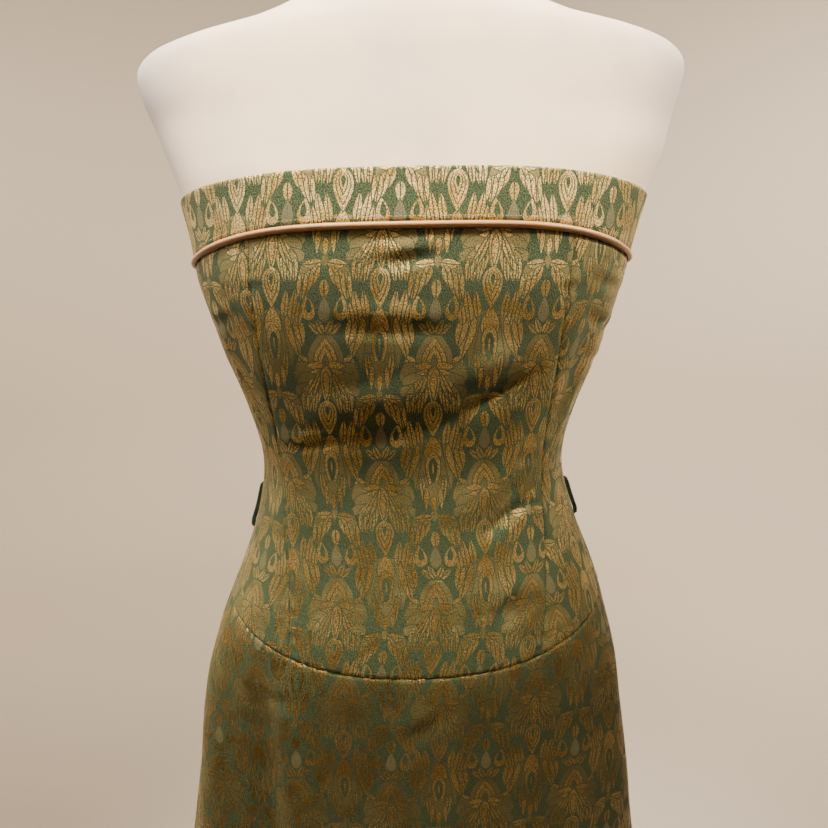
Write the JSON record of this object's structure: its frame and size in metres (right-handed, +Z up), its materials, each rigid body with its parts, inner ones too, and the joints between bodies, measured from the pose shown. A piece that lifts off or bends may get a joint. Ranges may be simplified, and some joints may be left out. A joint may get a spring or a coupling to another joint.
{
  "type": "strapless dress on a dress form",
  "caption": "Strapless brocade dress with a piped band, princess seams and a dropped waist, worn by a limbless dress form on a round stand.",
  "frame": {"origin": "centre of the round base's flat underside, on the floor", "axes": "+Z up along the pole; the dress faces -Y and +X is the wearer's left"},
  "size_m": [0.4863, 0.36, 1.5143],
  "materials": {
    "brocade": "gold and green silk brocade with a damask figure, satin sheen",
    "band_brocade": "the same brocade, cut across the top edge, satin sheen",
    "piping_satin": "tan satin bias over a cord",
    "loop_thread": "dark green chained thread, matte",
    "zip_nylon": "olive nylon coil",
    "zip_metal": "antique brass, brushed",
    "form_jersey": "ivory jersey stretched over the form, matte",
    "form_cap": "ivory jersey over a domed cap",
    "stand_metal": "satin black paint"
  },
  "bodies": {
    "root": {"band_front": "band_brocade", "band_back_left": "band_brocade", "band_back_right": "band_brocade", "piping": "piping_satin", "bodice_front": "brocade", "bodice_side_left": "brocade", "bodice_side_right": "brocade", "bodice_back_left": "brocade", "bodice_back_right": "brocade", "skirt_front": "brocade", "skirt_back": "brocade", "belt_loop_left": "loop_thread", "belt_loop_right": "loop_thread", "zip_chain": "zip_nylon", "zip_slider": "zip_metal", "form_torso": "form_jersey", "form_neck_cap": "form_cap", "stand_pole": "stand_metal", "stand_base": "stand_metal"},
    "pull": {"zip_pull": "zip_metal"}
  },
  "joints": [
    {"name": "pull_swing", "type": "hinge", "parent": "root", "child": "pull", "pos_m": [-0.00137, 0.09926, 1.216], "axis": [1, 0, 0], "range_deg": [0, 165]}
  ]
}
